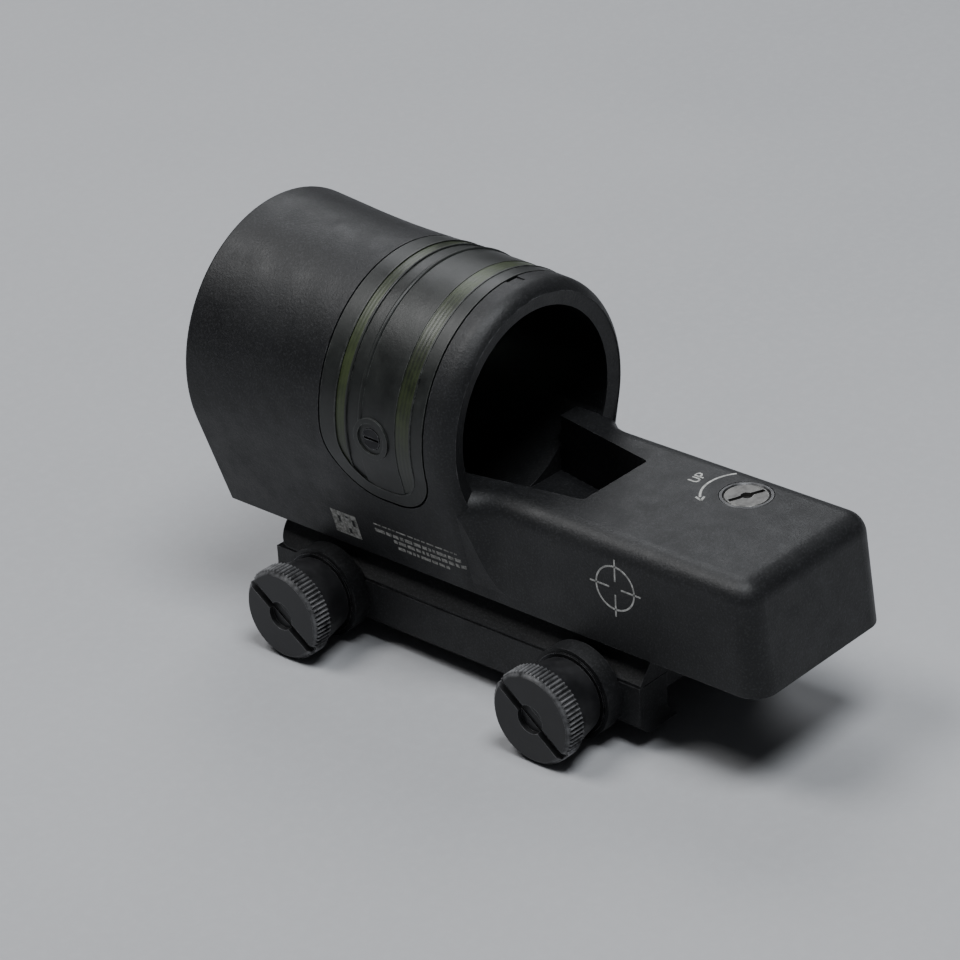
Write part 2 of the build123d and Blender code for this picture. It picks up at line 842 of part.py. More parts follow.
with BuildPart() as windage_slide:
    with BuildSketch(level(slide_floor)):
        with Locations(((cheek_right - 6) / 2, (slide_rear + slide_front) / 2)):
            Rectangle(cheek_right + 6, slide_front - slide_rear)
    extrude(amount=slide_top - slide_floor)
    with BuildSketch(station(slide_front)):
        with Locations((0, (slide_top + window_height) / 2 - 0.2)):
            Rectangle(2 * lamp_block, window_height - slide_top + 0.4)
        with Locations((0, window_height)):
            Circle(lamp_block)
    extrude(amount=slide_front - slide_rear)
    with BuildSketch(level(slide_top - 0.1)):
        with Locations(((cheek_left + cheek_right) / 2, (slide_rear + slide_front) / 2)):
            Rectangle(cheek_right - cheek_left, slide_front - slide_rear)
        with Locations(((nut_back + nut_front) / 2, (windage_y - nut_half - 0.1 + slide_front + 1) / 2)):
            Rectangle(
                nut_front - nut_back + 2 * cheek_gap,
                slide_front + 1 - windage_y + nut_half + 0.1,
                mode=Mode.SUBTRACT,
            )
    extrude(amount=windage_z + 3 - slide_top + 0.1)
    add(dovetail(fit), mode=Mode.SUBTRACT)
    with BuildSketch(side(cheek_left - 0.5)):
        with Locations((windage_y, windage_z + 1)):
            Rectangle(3.1, 6.1)
    extrude(amount=cheek_right - cheek_left + 1, mode=Mode.SUBTRACT)
    with BuildSketch(station(slide_front + 1)):
        with Locations((0, window_height)):
            Circle(sleeve_radius)
    extrude(amount=slide_front - slide_rear + 2, mode=Mode.SUBTRACT)
    with BuildSketch(side(-lamp_block - 1)):
        with Locations((lead_turn, lead_z)):
            Circle(1.0)
    extrude(amount=lamp_block, mode=Mode.SUBTRACT)
windage_slide.part.label = "windage_slide"
export_step(windage_slide.part, "parts/windage_slide.step")

with BuildPart() as windage_nut:
    with BuildSketch(side(nut_back)):
        with Locations((windage_y, windage_z)):
            Rectangle(2 * nut_half, 2 * nut_half - 0.4)
            Circle(windage_shaft + fit, mode=Mode.SUBTRACT)
    extrude(amount=nut_front - nut_back)
windage_nut.part.label = "windage_nut"
export_step(windage_nut.part, "parts/windage_nut.step")

sleeve_rear = -40.4
sleeve_front = -29.2
lamp_radius = 1.7
with BuildPart() as lamp_sleeve:
    with BuildSketch(station(sleeve_front)):
        with Locations((0, window_height)):
            Circle(sleeve_radius)
            Circle(lamp_radius + 0.05, mode=Mode.SUBTRACT)
    extrude(amount=sleeve_front - sleeve_rear)
    with BuildSketch(side(-sleeve_radius - 1)):
        with Locations((lead_turn, lead_z)):
            Circle(0.9)
    extrude(amount=sleeve_radius, mode=Mode.SUBTRACT)
lamp_sleeve.part.label = "lamp_sleeve"
export_step(lamp_sleeve.part, "parts/lamp_sleeve.step")

with BuildPart() as tritium_lamp:
    with BuildSketch(station(sleeve_front - 0.6)):
        with Locations((0, window_height)):
            Circle(lamp_radius)
    extrude(amount=sleeve_front - sleeve_rear - 1.0)
    fillet(tritium_lamp.edges().filter_by(GeomType.CIRCLE), 0.8)
tritium_lamp.part.label = "tritium_lamp"
export_step(tritium_lamp.part, "parts/tritium_lamp.step")

with BuildPart() as reticle_mask:
    with BuildSketch(station(sleeve_front + 0.3)):
        with Locations((0, window_height)):
            Circle(sleeve_radius)
            Circle(0.2, mode=Mode.SUBTRACT)
    extrude(amount=0.3)
reticle_mask.part.label = "reticle_mask"
export_step(reticle_mask.part, "parts/reticle_mask.step")

# ---- tail cover ----
with BuildPart() as tail_cover:
    with BuildSketch(level(underside)):
        with Locations((0, (cover_rear + cover_front) / 2)):
            RectangleRounded(2 * cover_half, cover_front - cover_rear, 1.5)
    extrude(amount=cover_plate)
    with BuildSketch(level(underside)):
        with Locations(*post_places):
            Circle(1.1)
    extrude(amount=cover_plate, mode=Mode.SUBTRACT)
    with BuildSketch(level(underside)):
        with Locations(*post_places):
            Circle(2.05)
    extrude(amount=1.1, mode=Mode.SUBTRACT)
tail_cover.part.label = "tail_cover"
export_step(tail_cover.part, "parts/tail_cover.step")

with BuildPart() as tail_gasket:
    with BuildSketch(level(underside + cover_plate)):
        with Locations((0, (cover_rear + cover_front) / 2)):
            RectangleRounded(2 * cover_half, cover_front - cover_rear, 1.5)
        with Locations((0, (cavity_rear + cavity_front) / 2)):
            RectangleRounded(2 * cavity_half, cavity_front - cavity_rear, 2, mode=Mode.SUBTRACT)
    extrude(amount=gasket)
tail_gasket.part.label = "tail_gasket"
export_step(tail_gasket.part, "parts/tail_gasket.step")

with BuildPart() as tail_cover_screws:
    with BuildSketch(level(underside + 0.1)):
        with Locations(*post_places):
            Circle(1.95)
    extrude(amount=1.0)
    with BuildSketch(level(underside + 0.1)):
        with Locations(*post_places):
            Rectangle(3.0, 0.5)
    extrude(amount=0.5, mode=Mode.SUBTRACT)
    with BuildSketch(level(underside + 1.0)):
        with Locations(*post_places):
            Circle(1.0)
    extrude(amount=6.6)
tail_cover_screws.part.label = "tail_cover_screws"
export_step(tail_cover_screws.part, "parts/tail_cover_screws.step")

# ---- mount base ----
tooth_tip = rail_half - 2.3
flank_wall = rail_half + claw_gap
tooth_low = -rail_flank - (flank_wall - tooth_tip)
bolt_places = (-bolt_spacing / 2, bolt_spacing / 2)
pedestal_half = 14.5

with BuildPart() as mount_base:
    with BuildSketch(station(base_front)):
        with BuildLine():
            Polyline(
                (-pedestal_half, underside),
                (-pedestal_half, shoulder_high),
                (-neck_half, shoulder_high),
                (-base_half, shoulder_low + 0.4),
                (-base_half, shoulder_low),
                (-flank_wall, shoulder_low),
                (-flank_wall, 0),
                (flank_wall, 0),
                (flank_wall, -rail_flank),
                (tooth_tip, tooth_low),
                (tooth_tip, claw_bottom),
                (base_half - 2, claw_bottom),
                (base_half, claw_bottom + 2),
                (base_half, shoulder_low + 0.4),
                (neck_half, shoulder_high),
                (pedestal_half, shoulder_high),
                (pedestal_half, underside),
                close=True,
            )
        make_face()
    extrude(amount=base_front - base_rear)
    outer_corners = mount_base.edges().filter_by(Axis.Z).group_by(Axis.Y)[-1]
    fillet(outer_corners.filter_by(lambda edge: abs(edge.center().X) > base_half - 0.1), 2.5)
    # grooves across the seat and holes in the right wall for the clamp bolts
    for bolt_y in bolt_places:
        with BuildSketch(side(-base_half)):
            with Locations((bolt_y, bolt_height)):
                Circle(bolt_radius + 0.1)
        extrude(amount=2 * base_half + 1, mode=Mode.SUBTRACT)
        with BuildSketch(side(base_half + 1)):
            with Locations((bolt_y, bolt_height)):
                Circle(3.5)
        extrude(amount=-6, mode=Mode.SUBTRACT)
    # counterbored holes for the screws that hold the housing, and dowel holes
    with BuildSketch(level(0)):
        with Locations(*base_screw_places):
            Circle(3.9)
    extrude(amount=4.4, mode=Mode.SUBTRACT)
    with BuildSketch(level(0)):
        with Locations(*base_screw_places):
            Circle(2.15)
    extrude(amount=underside, mode=Mode.SUBTRACT)
    with BuildSketch(level(underside)):
        with Locations(*dowel_places):
            Circle(1.52)
    extrude(amount=-4.2, mode=Mode.SUBTRACT)
mount_base.part.label = "mount_base"
export_step(mount_base.part, "parts/mount_base.step")

with BuildPart() as base_screws:
    with BuildSketch(level(0.4)):
        with Locations(*base_screw_places):
            Circle(3.5)
    extrude(amount=4.0)
    with BuildSketch(level(0.4)):
        with Locations(*base_screw_places):
            RegularPolygon(1.7, 6)
    extrude(amount=2.2, mode=Mode.SUBTRACT)
    with BuildSketch(level(4.3)):
        with Locations(*base_screw_places):
            Circle(2.0)
    extrude(amount=11.2)
base_screws.part.label = "base_screws"
export_step(base_screws.part, "parts/base_screws.step")

with BuildPart() as base_dowels:
    with BuildSketch(level(underside - 4.0)):
        with Locations(*dowel_places):
            Circle(1.5)
    extrude(amount=8.0)
    chamfer(base_dowels.edges().filter_by(GeomType.CIRCLE), 0.3)
base_dowels.part.label = "base_dowels"
export_step(base_dowels.part, "parts/base_dowels.step")

# ---- clamp bar, its inserts and the thumb screws ----
bar_top = shoulder_low - 0.15
clip_pocket = 1.2
with BuildPart() as clamp_bar:
    with BuildSketch(station(base_front)):
        with BuildLine():
            Polyline(
                (bar_face, bar_top),
                (-flank_wall, bar_top),
                (-flank_wall, -rail_flank),
                (-tooth_tip, tooth_low),
                (-tooth_tip, claw_bottom),
                (bar_face + 2, claw_bottom),
                (bar_face, claw_bottom + 2),
                close=True,
            )
        make_face()
    extrude(amount=base_front - base_rear)
    for bolt_y in bolt_places:
        with BuildSketch(side(bar_face)):
            with Locations((bolt_y, bolt_height)):
                Circle(boss_radius)
        extrude(amount=boss_face - bar_face)
        with BuildSketch(side(boss_face)):
            with Locations((bolt_y, bolt_height)):
                Circle(bolt_radius + fit)
        extrude(amount=-boss_face, mode=Mode.SUBTRACT)
        with BuildSketch(side(-tooth_tip)):
            with Locations((bolt_y, bolt_height)):
                Circle(3.3)
        extrude(amount=tooth_tip - flank_wall - clip_pocket, mode=Mode.SUBTRACT)
clamp_bar.part.label = "clamp_bar"
export_step(clamp_bar.part, "parts/clamp_bar.step")

washer_thickness = 0.4
with BuildPart() as clamp_washers:
    for bolt_y in bolt_places:
        with BuildSketch(side(boss_face)):
            with Locations((bolt_y, bolt_height)):
                Circle(7.9)
                Circle(bolt_radius + fit, mode=Mode.SUBTRACT)
        extrude(amount=-washer_thickness)
clamp_washers.part.label = "clamp_washers"
export_step(clamp_washers.part, "parts/clamp_washers.step")

clip_face = -flank_wall - clip_pocket + 0.1
with BuildPart() as clamp_clips:
    for bolt_y in bolt_places:
        with BuildSketch(side(clip_face)):
            with Locations((bolt_y, bolt_height)):
                Circle(3.1)
                Circle(bolt_radius - 0.4, mode=Mode.SUBTRACT)
            with Locations((bolt_y, bolt_height - 3)):
                Rectangle(2.2, 6, mode=Mode.SUBTRACT)
        extrude(amount=0.7)
clamp_clips.part.label = "clamp_clips"
export_step(clamp_clips.part, "parts/clamp_clips.step")

with BuildPart() as clamp_inserts:
    for bolt_y in bolt_places:
        with BuildSketch(side(base_half - 0.2)):
            with Locations((bolt_y, bolt_height)):
                Circle(3.49)
                Circle(bolt_radius + fit, mode=Mode.SUBTRACT)
        extrude(amount=-4.8)
clamp_inserts.part.label = "clamp_inserts"
export_step(clamp_inserts.part, "parts/clamp_inserts.step")

knob_bevel = 0.9
skirt_start = boss_face - washer_thickness - fit
shaft_end = base_half - 1.2


def thumb_screw(bolt_y, slot_angle):
    """Straight-knurled head on a tapered skirt with a coin slot; the screw turns about X."""
    axis = Axis((0, bolt_y, bolt_height), (1, 0, 0))
    points = []
    for tooth in range(knurl_teeth):
        for part_turn, radius in ((0, knob_radius), (0.5, knob_radius - knurl_depth)):
            angle = 2 * pi * (tooth + part_turn) / knurl_teeth
            points.append((bolt_y + radius * cos(angle), bolt_height + radius * sin(angle)))
    with BuildPart() as envelope:
        with BuildSketch(Plane.XZ.offset(-bolt_y)):
            with BuildLine():
                Polyline(
                    (skirt_start, bolt_height),
                    (skirt_start, bolt_height + 7.2),
                    (knob_back, bolt_height + 8.45),
                    (knob_back, bolt_height + knob_radius),
                    (knob_face + knob_bevel, bolt_height + knob_radius),
                    (knob_face, bolt_height + knob_radius - knob_bevel),
                    (knob_face, bolt_height),
                    close=True,
                )
            make_face()
        revolve(axis=axis)
    with BuildPart() as screw:
        with BuildSketch(side(knob_face - 1)):
            with BuildLine():
                Polyline(*points, close=True)
            make_face()
        extrude(amount=skirt_start - knob_face + 2)
        add(envelope.part, mode=Mode.INTERSECT)
        with BuildSketch(side(knob_face)):
            with Locations((bolt_y, bolt_height)):
                Rectangle(2.2 * knob_radius, 1.8, rotation=slot_angle)
        extrude(amount=1.3, mode=Mode.SUBTRACT)
        with BuildSketch(side(knob_face)):
            with Locations((bolt_y, bolt_height)):
                Circle(2.8)
        extrude(amount=1.0, mode=Mode.SUBTRACT)
        with BuildSketch(side(skirt_start)):
            with Locations((bolt_y, bolt_height)):
                Circle(bolt_radius)
        extrude(amount=shaft_end - skirt_start)
        chamfer(screw.faces().sort_by(Axis.X)[-1].edges(), 0.5)
        with BuildSketch(side(clip_face - 0.05)):
            with Locations((bolt_y, bolt_height)):
                Circle(bolt_radius + 0.1)
                Circle(bolt_radius - 0.5, mode=Mode.SUBTRACT)
        extrude(amount=0.8, mode=Mode.SUBTRACT)
    return screw.part


thumb_screw_rear = thumb_screw(bolt_places[0], -142)
thumb_screw_rear.label = "thumb_screw_rear"
export_step(thumb_screw_rear, "parts/thumb_screw_rear.step")
thumb_screw_front = thumb_screw(bolt_places[1], -145)
thumb_screw_front.label = "thumb_screw_front"
export_step(thumb_screw_front, "parts/thumb_screw_front.step")
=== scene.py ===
"""Looks of the rail-mounted reflex sight: materials, markings, small pieces, studio and camera."""

from math import cos, pi, radians, sin

import bmesh
import bpy
from mathutils import Matrix, Vector
from mathutils.bvhtree import BVHTree


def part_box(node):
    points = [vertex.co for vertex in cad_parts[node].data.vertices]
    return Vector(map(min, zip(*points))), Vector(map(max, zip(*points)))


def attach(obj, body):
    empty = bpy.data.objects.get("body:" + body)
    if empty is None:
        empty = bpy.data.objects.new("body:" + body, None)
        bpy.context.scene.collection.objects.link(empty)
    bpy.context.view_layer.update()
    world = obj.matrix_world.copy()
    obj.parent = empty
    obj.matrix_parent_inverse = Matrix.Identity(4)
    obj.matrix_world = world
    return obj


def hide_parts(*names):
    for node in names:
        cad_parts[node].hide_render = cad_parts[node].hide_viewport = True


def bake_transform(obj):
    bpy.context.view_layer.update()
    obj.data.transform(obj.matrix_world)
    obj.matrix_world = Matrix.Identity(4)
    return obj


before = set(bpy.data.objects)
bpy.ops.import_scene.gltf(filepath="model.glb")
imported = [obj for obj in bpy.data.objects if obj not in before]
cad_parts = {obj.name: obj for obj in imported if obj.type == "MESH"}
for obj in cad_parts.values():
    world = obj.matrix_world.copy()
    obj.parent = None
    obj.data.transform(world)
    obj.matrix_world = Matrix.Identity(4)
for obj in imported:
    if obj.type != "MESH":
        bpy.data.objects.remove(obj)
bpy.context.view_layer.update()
MM = 0.001

# ---- sizes shared with the CAD, millimetres ----
TAIL_TOP = 30.2
AXIS_Z = 38.3
HALF_WIDTH = 18.25
ADJUSTER = (9.2, -45.4)
BOLT_Y = 30.024
BOLT_Z = -0.5
KNOB_RADIUS = 9.0
FLOOR_Z = BOLT_Z - KNOB_RADIUS


# ---- small node-graph helper ----
class Graph:
    """Wraps one material's node tree so that each node is one short call."""

    def __init__(self, name):
        self.material = bpy.data.materials.new(name)
        self.material.use_nodes = True
        self.tree = self.material.node_tree
        self.shader = self.tree.nodes["Principled BSDF"]
        self.position = self.node("ShaderNodeTexCoord").outputs["Object"]

    def node(self, kind, **settings):
        """A new node of that kind with its settings."""
        made = self.tree.nodes.new(kind)
        for key, value in settings.items():
            setattr(made, key, value)
        return made

    def put(self, socket, value):
        """Links a socket to another, or gives it a constant."""
        if isinstance(value, bpy.types.NodeSocket):
            self.tree.links.new(value, socket)
        else:
            socket.default_value = value

    def set(self, **values):
        """Fills the shader's own sockets, with underscores for the spaces in their names."""
        for key, value in values.items():
            self.put(self.shader.inputs[key.replace("_", " ")], value)

    def math(self, operation, a, b=0.0, c=0.0, clamp=False):
        """The result of one math node."""
        made = self.node("ShaderNodeMath", operation=operation, use_clamp=clamp)
        for socket, value in zip(made.inputs, (a, b, c)):
            self.put(socket, value)
        return made.outputs[0]

    def noise(self, scale, detail, roughness, stretch=None):
        """Cloudy noise with its features per metre, stretched along an axis whose scale is under 1."""
        made = self.node("ShaderNodeTexNoise")
        source = self.position
        if stretch:
            mapping = self.node("ShaderNodeMapping")
            mapping.inputs["Scale"].default_value = stretch
            self.tree.links.new(source, mapping.inputs["Vector"])
            source = mapping.outputs[0]
        self.tree.links.new(source, made.inputs["Vector"])
        made.inputs["Scale"].default_value = scale
        made.inputs["Detail"].default_value = detail
        made.inputs["Roughness"].default_value = roughness
        return made.outputs["Fac"]

    def ramp(self, value, low, high, start=0.0, end=1.0):
        """The value's range low to high, spread over start to end and held there."""
        made = self.node("ShaderNodeMapRange", clamp=True)
        for key, number in (
            ("From Min", low),
            ("From Max", high),
            ("To Min", start),
            ("To Max", end),
        ):
            made.inputs[key].default_value = number
        self.put(made.inputs["Value"], value)
        return made.outputs["Result"]

    def mix(self, factor, a, b):
        """Colour a at factor 0 and colour b at factor 1."""
        made = self.node("ShaderNodeMix", data_type="RGBA")
        self.put(made.inputs[0], factor)
        for socket, value in ((made.inputs[6], a), (made.inputs[7], b)):
            if isinstance(value, tuple):
                value = (*value, 1.0) if len(value) == 3 else value
            self.put(socket, value)
        return made.outputs[2]

    def axis(self, letter):
        """One coordinate of the object's own space, in metres."""
        made = self.node("ShaderNodeSeparateXYZ")
        self.tree.links.new(self.position, made.inputs[0])
        return made.outputs["XYZ".index(letter)]

    def edges(self, radius):
        """0 on flat faces, rising towards 1 on sharp outer and inner edges."""
        bevel = self.node("ShaderNodeBevel", samples=4)
        bevel.inputs["Radius"].default_value = radius
        geometry = self.node("ShaderNodeNewGeometry")
        dot = self.node("ShaderNodeVectorMath", operation="DOT_PRODUCT")
        self.tree.links.new(bevel.outputs[0], dot.inputs[0])
        self.tree.links.new(geometry.outputs["Normal"], dot.inputs[1])
        return self.math("SUBTRACT", 1.0, dot.outputs["Value"], clamp=True)

    def bump(self, height, strength, distance):
        """A surface normal roughened by a height pattern."""
        made = self.node("ShaderNodeBump")
        made.inputs["Strength"].default_value = strength
        made.inputs["Distance"].default_value = distance
        self.put(made.inputs["Height"], height)
        return made.outputs[0]


def anodised(name, dark, light, rough, wear, painted_bore_shade=False):
    """Matt black hard-anodised alloy: fine blasted grain, faint mottling, edges rubbed grey."""
    g = Graph(name)
    grain = g.noise(2100, 3, 0.7)
    mottle = g.noise(70, 5, 0.6)
    cloud = g.noise(18, 3, 0.5)
    tone = g.math("MULTIPLY_ADD", mottle, 0.6, g.math("MULTIPLY", cloud, 0.4))
    colour = g.mix(g.ramp(tone, 0.38, 0.62), dark, light)
    # painted glints: each grain of the blasted skin is given a small painted highlight
    painted_glint = g.ramp(g.noise(2300, 2, 0.75), 0.50, 0.68)
    colour = g.mix(g.math("MULTIPLY", painted_glint, 0.35), colour, (0.052, 0.053, 0.057))
    # long fine rubs left by handling
    rub = g.math("MULTIPLY", g.ramp(g.noise(160, 6, 0.7, (1, 0.16, 1)), 0.6, 0.76), 0.2)
    colour = g.mix(rub, colour, (0.05, 0.05, 0.053))
    edge = g.ramp(g.edges(0.35 * MM), 0.10, 0.42)
    broken = g.ramp(g.noise(420, 6, 0.75), 0.47, 0.66)
    worn = g.math("MULTIPLY", g.math("MULTIPLY", edge, broken), wear, clamp=True)
    colour = g.mix(worn, colour, (0.26, 0.26, 0.27))
    roughness = g.ramp(g.noise(240, 5, 0.6), 0.3, 0.7, rough - 0.06, rough + 0.08)
    roughness = g.math("SUBTRACT", roughness, g.math("MULTIPLY", worn, 0.15))
    # painted shade: the unlit wall of the tube's bore is darkened almost to black
    if painted_bore_shade:
        colour = g.mix(bore_shade_mask(g), colour, (0.0035, 0.0035, 0.004))
    g.set(Base_Color=colour, Roughness=roughness, Metallic=0.0, Specular_IOR_Level=0.4)
    height = g.math("MULTIPLY_ADD", g.noise(900, 4, 0.6), 0.35, grain)
    g.set(Normal=g.bump(height, 0.85, 0.07 * MM))
    return g.material


def bore_shade_mask(g):
    """1 where shade is painted on the tube's bore wall, 0 on the rim, the tail and the open pocket."""
    x2 = g.math("POWER", g.math("ABSOLUTE", g.axis("X")), 2.0)
    rise = g.math("ABSOLUTE", g.math("SUBTRACT", g.axis("Z"), AXIS_Z * MM))
    radius = g.math("SQRT", g.math("ADD", x2, g.math("POWER", rise, 2.0)))
    inside = g.ramp(radius, 19.95 * MM, 20.3 * MM, 1.0, 0.0)
    lens_part = g.math(
        "MULTIPLY",
        g.ramp(radius, 24.35 * MM, 24.6 * MM, 1.0, 0.0),
        g.ramp(g.axis("Y"), 14 * MM, 16 * MM),
    )
    wall = g.math("MAXIMUM", inside, lens_part)
    above = g.ramp(g.axis("Z"), 30.6 * MM, 31.2 * MM)
    forward = g.ramp(g.axis("Y"), 2 * MM, 12 * MM)
    behind = g.ramp(g.axis("Y"), -5.6 * MM, -5.1 * MM)
    return g.math("MULTIPLY", wall, g.math("MAXIMUM", forward, g.math("MULTIPLY", above, behind)))


def cover_skin():
    """Dull cover over the fibres: much like the metal, slightly greener and more rubbed."""
    g = Graph("cover_skin")
    mottle = g.noise(150, 6, 0.65)
    colour = g.mix(g.ramp(mottle, 0.35, 0.68), (0.0085, 0.0095, 0.0090), (0.0165, 0.0185, 0.0170))
    streak = g.ramp(g.noise(900, 5, 0.6, (0.25, 1.0, 0.25)), 0.54, 0.76)
    colour = g.mix(g.math("MULTIPLY", streak, 0.22), colour, (0.048, 0.052, 0.046))
    edge = g.ramp(g.edges(0.3 * MM), 0.05, 0.3)
    worn = g.math("MULTIPLY", edge, g.ramp(g.noise(600, 5, 0.7), 0.36, 0.62))
    colour = g.mix(g.math("MULTIPLY", worn, 0.65), colour, (0.19, 0.20, 0.19))
    g.set(Base_Color=colour, Roughness=g.ramp(mottle, 0.3, 0.7, 0.36, 0.50), Specular_IOR_Level=0.5)
    g.set(Normal=g.bump(g.noise(1300, 4, 0.65), 0.55, 0.05 * MM))
    return g.material


def window_strip():
    """Smoky olive strip over the wound fibre: mottled, greener in patches, dark towards its lower ends."""
    g = Graph("window_strip")
    strands = g.node("ShaderNodeTexWave", wave_type="BANDS", bands_direction="Y")
    g.tree.links.new(g.position, strands.inputs["Vector"])
    strands.inputs["Scale"].default_value = 390.0
    strands.inputs["Distortion"].default_value = 1.2
    strands.inputs["Detail"].default_value = 3.0
    patches = g.noise(90, 6, 0.72)
    colour = g.mix(g.ramp(patches, 0.38, 0.64), (0.009, 0.0115, 0.0075), (0.034, 0.047, 0.016))
    colour = g.mix(g.math("MULTIPLY", strands.outputs["Fac"], 0.25), colour, (0.055, 0.072, 0.024))
    rubbed = g.ramp(g.noise(700, 6, 0.75), 0.58, 0.74)
    colour = g.mix(g.math("MULTIPLY", rubbed, 0.3), colour, (0.085, 0.095, 0.055))
    low = g.ramp(g.axis("Z"), (AXIS_Z - 8) * MM, (AXIS_Z + 3) * MM, 1.0, 0.0)
    colour = g.mix(g.math("MULTIPLY", low, 0.8), colour, (0.010, 0.012, 0.009))
    g.set(Base_Color=colour, Roughness=g.ramp(patches, 0.3, 0.7, 0.32, 0.48))
    g.set(Coat_Weight=0.12, Coat_Roughness=0.3)
    g.set(Normal=g.bump(g.math("ADD", strands.outputs["Fac"], g.noise(1300, 4, 0.65)), 0.4, 0.04 * MM))
    return g.material


def fibre(name):
    """Green light-collecting fibre with a glossy skin."""
    g = Graph(name)
    tone = g.noise(300, 4, 0.6)
    g.set(Base_Color=g.mix(g.ramp(tone, 0.3, 0.7), (0.10, 0.20, 0.03), (0.22, 0.40, 0.07)))
    g.set(Roughness=g.ramp(tone, 0.3, 0.7, 0.2, 0.35), Coat_Weight=0.5)
    g.set(Normal=g.bump(tone, 0.15, 0.03 * MM))
    return g.material


def steel(name, dark, light, rough, wear, metallic=0.85):
    """Turned or milled steel: fine tool lines, blotchy oxide and bright rubbed edges."""
    g = Graph(name)
    blotch = g.noise(380, 6, 0.65)
    colour = g.mix(g.ramp(blotch, 0.35, 0.65), dark, light)
    edge = g.ramp(g.edges(0.22 * MM), 0.07, 0.3)
    worn = g.math("MULTIPLY", edge, g.ramp(g.noise(800, 5, 0.7), 0.34, 0.6))
    worn = g.math("MULTIPLY", worn, wear, clamp=True)
    colour = g.mix(worn, colour, (0.46, 0.46, 0.47))
    lines = g.noise(2400, 3, 0.5, (0.2, 1.0, 1.0))
    g.set(Base_Color=colour, Metallic=metallic)
    g.set(Roughness=g.ramp(blotch, 0.3, 0.7, rough - 0.07, rough + 0.09))
    g.set(Normal=g.bump(lines, 0.25, 0.02 * MM))
    return g.material


def knob_metal():
    """Satin black thumb screw: knurl tips and slot lips worn to grey metal."""
    g = Graph("knob_metal")
    away = g.math("SUBTRACT", g.math("ABSOLUTE", g.axis("Y")), BOLT_Y * MM)
    rise = g.math("SUBTRACT", g.axis("Z"), BOLT_Z * MM)
    squares = g.math("ADD", g.math("POWER", g.math("ABSOLUTE", away), 2.0),
                     g.math("POWER", g.math("ABSOLUTE", rise), 2.0))
    radius = g.math("SQRT", squares)
    out = g.math("MULTIPLY", g.axis("X"), -1.0)
    mottle = g.noise(260, 5, 0.6)
    colour = g.mix(g.ramp(mottle, 0.35, 0.65), (0.008, 0.008, 0.009), (0.018, 0.018, 0.0195))
    head = g.ramp(out, 28.9 * MM, 29.1 * MM)
    tips = g.math("MULTIPLY", g.ramp(radius, 8.68 * MM, 8.98 * MM), head)
    rim = g.math("MULTIPLY", g.ramp(radius, 8.0 * MM, 8.5 * MM), g.ramp(out, 32.1 * MM, 32.6 * MM))
    edge = g.ramp(g.edges(0.2 * MM), 0.05, 0.3)
    broken = g.ramp(g.noise(520, 6, 0.7), 0.34, 0.62)
    worn = g.math("MAXIMUM", g.math("MULTIPLY", tips, 0.85), g.math("MULTIPLY", rim, 0.4))
    worn = g.math("MAXIMUM", worn, g.math("MULTIPLY", edge, 0.85))
    worn = g.math("MULTIPLY", worn, broken, clamp=True)
    colour = g.mix(worn, colour, (0.42, 0.42, 0.43))
    scratch = g.ramp(g.noise(420, 7, 0.75, (1, 0.3, 1)), 0.62, 0.78)
    colour = g.mix(g.math("MULTIPLY", scratch, 0.25), colour, (0.075, 0.075, 0.08))
    g.set(Base_Color=colour, Metallic=g.math("MULTIPLY", worn, 0.8))
    g.set(Roughness=g.math("SUBTRACT", g.ramp(mottle, 0.3, 0.7, 0.4, 0.52), g.math("MULTIPLY", worn, 0.12)))
    g.set(Specular_IOR_Level=0.5, Normal=g.bump(g.noise(2200, 3, 0.6), 0.3, 0.03 * MM))
    return g.material


def rubber():
    """Dull black rubber of the seals."""
    g = Graph("seal_rubber")
    tone = g.noise(500, 4, 0.6)
    g.set(Base_Color=g.mix(tone, (0.010, 0.010, 0.010), (0.024, 0.024, 0.024)))
    g.set(Roughness=g.ramp(tone, 0.3, 0.7, 0.6, 0.8), Normal=g.bump(tone, 0.3, 0.04 * MM))
    return g.material


def alloy(name, dark, light, rough):
    """Bare turned or milled alloy with fine tool lines."""
    g = Graph(name)
    tone = g.noise(420, 5, 0.6)
    lines = g.noise(1800, 3, 0.5, (1.0, 0.15, 1.0))
    g.set(Base_Color=g.mix(g.ramp(tone, 0.3, 0.7), dark, light), Metallic=1.0)
    g.set(Roughness=g.ramp(lines, 0.3, 0.7, rough - 0.08, rough + 0.1))
    g.set(Normal=g.bump(lines, 0.25, 0.02 * MM))
    return g.material


def glass(name, tint, coat):
    """Polished glass with a faint coating colour and a little dust."""
    g = Graph(name)
    dust = g.ramp(g.noise(900, 6, 0.7), 0.62, 0.8)
    g.set(Base_Color=g.mix(g.math("MULTIPLY", dust, 0.25), tint, (0.7, 0.7, 0.7)))
    g.set(Roughness=g.ramp(dust, 0.0, 1.0, 0.01, 0.12), Transmission_Weight=1.0, IOR=1.5)
    g.set(Specular_Tint=(*coat, 1.0), Normal=g.bump(g.noise(40, 2, 0.5), 0.02, 0.01 * MM))
    return g.material


def marking_paint(name, thin, full):
    """Printed marking, worn thin in patches."""
    g = Graph(name)
    patch = g.noise(1400, 6, 0.7)
    g.set(Base_Color=g.mix(g.ramp(patch, 0.4, 0.62), thin, full))
    g.set(Roughness=g.ramp(patch, 0.3, 0.7, 0.55, 0.75), Normal=g.bump(patch, 0.3, 0.02 * MM))
    return g.material


